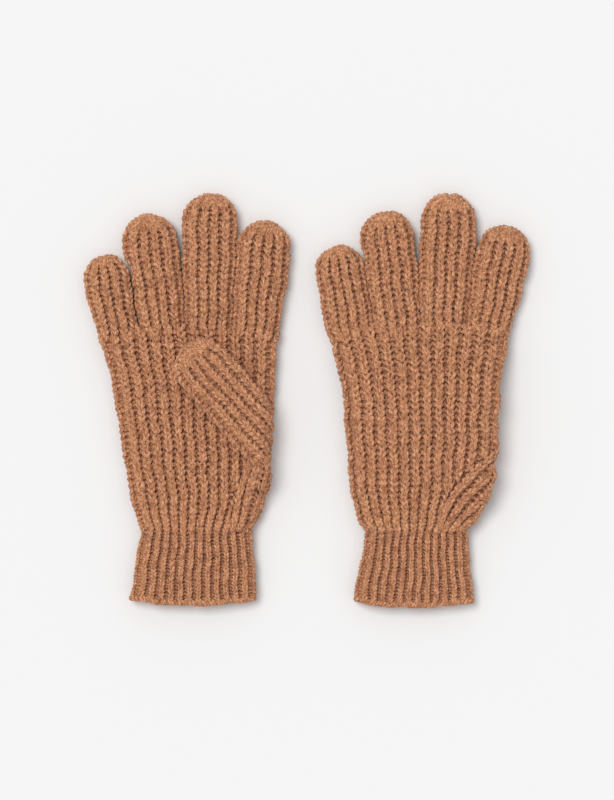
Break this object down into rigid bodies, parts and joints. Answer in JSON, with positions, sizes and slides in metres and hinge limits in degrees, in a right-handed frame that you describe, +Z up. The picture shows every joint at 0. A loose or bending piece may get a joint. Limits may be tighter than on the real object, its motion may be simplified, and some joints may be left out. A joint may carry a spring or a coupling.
{
  "type": "pair of knitted full-fingered gloves",
  "caption": "Pair of chunky rib-knitted full-fingered gloves lying flat, right palm up with its thumb folded over, left palm down, with long ribbed cuffs.",
  "frame": {"origin": "centre of the pair's footprint, on the surface that the gloves lie on", "axes": "+X from the right-hand glove to the left-hand glove, +Y from the cuffs to the fingertips, +Z up from the surface"},
  "size_m": [0.2639, 0.2519, 0.0254],
  "materials": {
    "cuff_rib_knit": "matte heathered camel wool, one-by-one rib",
    "cast_on_edge_knit": "matte heathered camel wool, rolled cast-on edge",
    "hand_rib_knit": "matte heathered camel wool, half-cardigan rib",
    "digit_rib_knit": "matte heathered camel wool, half-cardigan rib tubes"
  },
  "bodies": {
    "right_hand": {"right_palm": "hand_rib_knit", "right_back": "hand_rib_knit", "right_thumb_gusset": "hand_rib_knit"},
    "right_cuff": {"right_cuff": "cuff_rib_knit", "right_cuff_edge": "cast_on_edge_knit"},
    "right_thumb": {"right_thumb": "digit_rib_knit"},
    "right_index_finger": {"right_index_finger": "digit_rib_knit"},
    "right_middle_finger": {"right_middle_finger": "digit_rib_knit"},
    "right_ring_finger": {"right_ring_finger": "digit_rib_knit"},
    "right_little_finger": {"right_little_finger": "digit_rib_knit"},
    "left_hand": {"left_palm": "hand_rib_knit", "left_back": "hand_rib_knit", "left_thumb_gusset": "hand_rib_knit"},
    "left_cuff": {"left_cuff": "cuff_rib_knit", "left_cuff_edge": "cast_on_edge_knit"},
    "left_thumb": {"left_thumb": "digit_rib_knit"},
    "left_index_finger": {"left_index_finger": "digit_rib_knit"},
    "left_middle_finger": {"left_middle_finger": "digit_rib_knit"},
    "left_ring_finger": {"left_ring_finger": "digit_rib_knit"},
    "left_little_finger": {"left_little_finger": "digit_rib_knit"}
  },
  "joints": [
    {"name": "right_little_finger_bend", "type": "hinge", "parent": "right_hand", "child": "right_little_finger", "pos_m": [-0.1144, 0.045, 0.007], "axis": [0.9836, 0.1805, 0], "range_deg": [0, 90]},
    {"name": "right_ring_finger_bend", "type": "hinge", "parent": "right_hand", "child": "right_ring_finger", "pos_m": [-0.0873, 0.048, 0.007], "axis": [0.9895, 0.1444, 0], "range_deg": [0, 90]},
    {"name": "right_middle_finger_bend", "type": "hinge", "parent": "right_hand", "child": "right_middle_finger", "pos_m": [-0.059, 0.0482, 0.007], "axis": [0.9999, -0.014, 0], "range_deg": [0, 90]},
    {"name": "right_index_finger_bend", "type": "hinge", "parent": "right_hand", "child": "right_index_finger", "pos_m": [-0.0306, 0.0465, 0.007], "axis": [0.9945, -0.1045, 0], "range_deg": [0, 90]},
    {"name": "right_thumb_swing", "type": "hinge", "parent": "right_hand", "child": "right_thumb", "pos_m": [-0.0194, -0.027, 0.0142], "axis": [0, 1, 0], "range_deg": [0, 140]},
    {"name": "right_wrist_fold", "type": "hinge", "parent": "right_hand", "child": "right_cuff", "pos_m": [-0.0662, -0.078, 0.007], "axis": [-1, 0, 0], "range_deg": [0, 70]},
    {"name": "left_glove_lift", "type": "slide", "parent": "right_hand", "child": "left_hand", "axis": [0, 0, 1], "range_m": [0, 0.12]},
    {"name": "left_little_finger_bend", "type": "hinge", "parent": "left_hand", "child": "left_little_finger", "pos_m": [0.0254, 0.046, 0.0114], "axis": [-0.9848, -0.1736, 0], "range_deg": [0, 70]},
    {"name": "left_ring_finger_bend", "type": "hinge", "parent": "left_hand", "child": "left_ring_finger", "pos_m": [0.0536, 0.0476, 0.0114], "axis": [-0.9934, -0.1149, 0], "range_deg": [0, 70]},
    {"name": "left_middle_finger_bend", "type": "hinge", "parent": "left_hand", "child": "left_middle_finger", "pos_m": [0.0816, 0.05, 0.0114], "axis": [-0.9984, 0.0558, 0], "range_deg": [0, 70]},
    {"name": "left_index_finger_bend", "type": "hinge", "parent": "left_hand", "child": "left_index_finger", "pos_m": [0.1098, 0.049, 0.0114], "axis": [-0.9816, 0.1908, 0], "range_deg": [0, 70]},
    {"name": "left_thumb_swing", "type": "hinge", "parent": "left_hand", "child": "left_thumb", "pos_m": [0.1152, -0.027, 0.0112], "axis": [0, -1, 0], "range_deg": [0, 180]},
    {"name": "left_wrist_fold", "type": "hinge", "parent": "left_hand", "child": "left_cuff", "pos_m": [0.0656, -0.078, 0.0114], "axis": [-1, 0, 0], "range_deg": [0, 70]}
  ]
}
